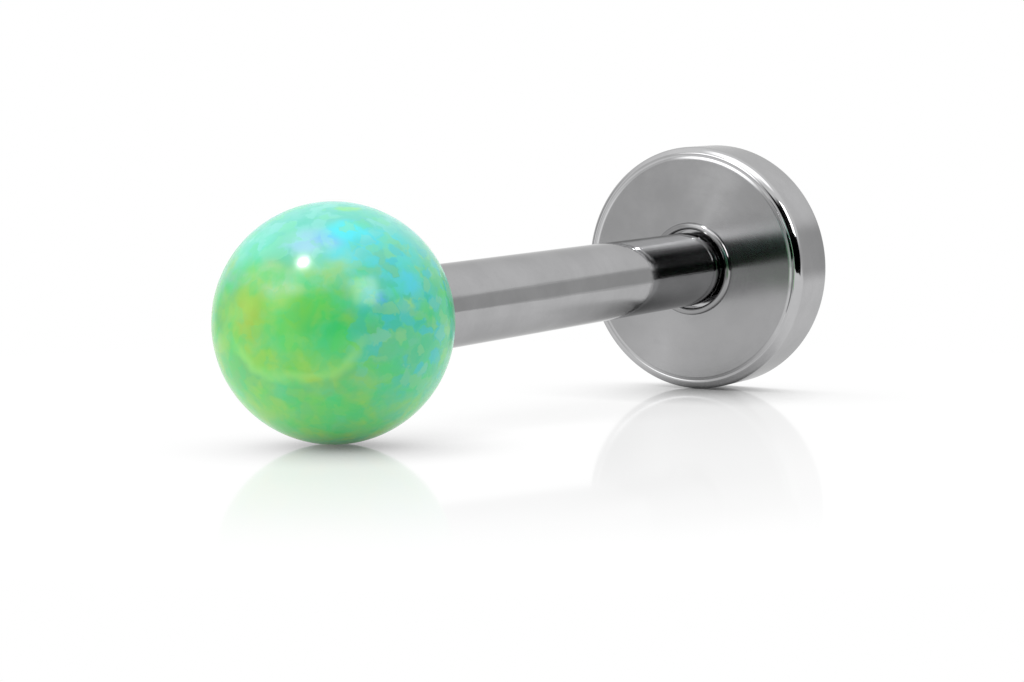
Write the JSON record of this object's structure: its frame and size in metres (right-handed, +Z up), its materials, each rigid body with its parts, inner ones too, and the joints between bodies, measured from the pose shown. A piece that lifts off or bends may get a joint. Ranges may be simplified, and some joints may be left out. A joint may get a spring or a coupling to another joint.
{
  "type": "labret stud",
  "caption": "Labret stud for a piercing: polished opal ball on a straight steel bar with a flat round disc back; the ball end pulls off on its pin.",
  "frame": {"origin": "on the table, under the middle of the stud's whole length", "axes": "+Z up from the table, +Y from the ball to the disc back, +X across"},
  "size_m": [0.004, 0.0122, 0.004],
  "materials": {
    "disc_steel": "turned satin face, smooth rim",
    "bar_steel": "polished",
    "pin_steel": "plain",
    "opal": "polished green opal with blue and yellow fire"
  },
  "bodies": {
    "post": {"disc_back": "disc_steel", "bar": "bar_steel"},
    "ball_end": {"opal_ball": "opal", "ball_pin": "pin_steel"}
  },
  "joints": [
    {"name": "ball_pull", "type": "slide", "parent": "post", "child": "ball_end", "axis": [0, -0.9992, -0.041], "range_m": [0, 0.003]}
  ]
}
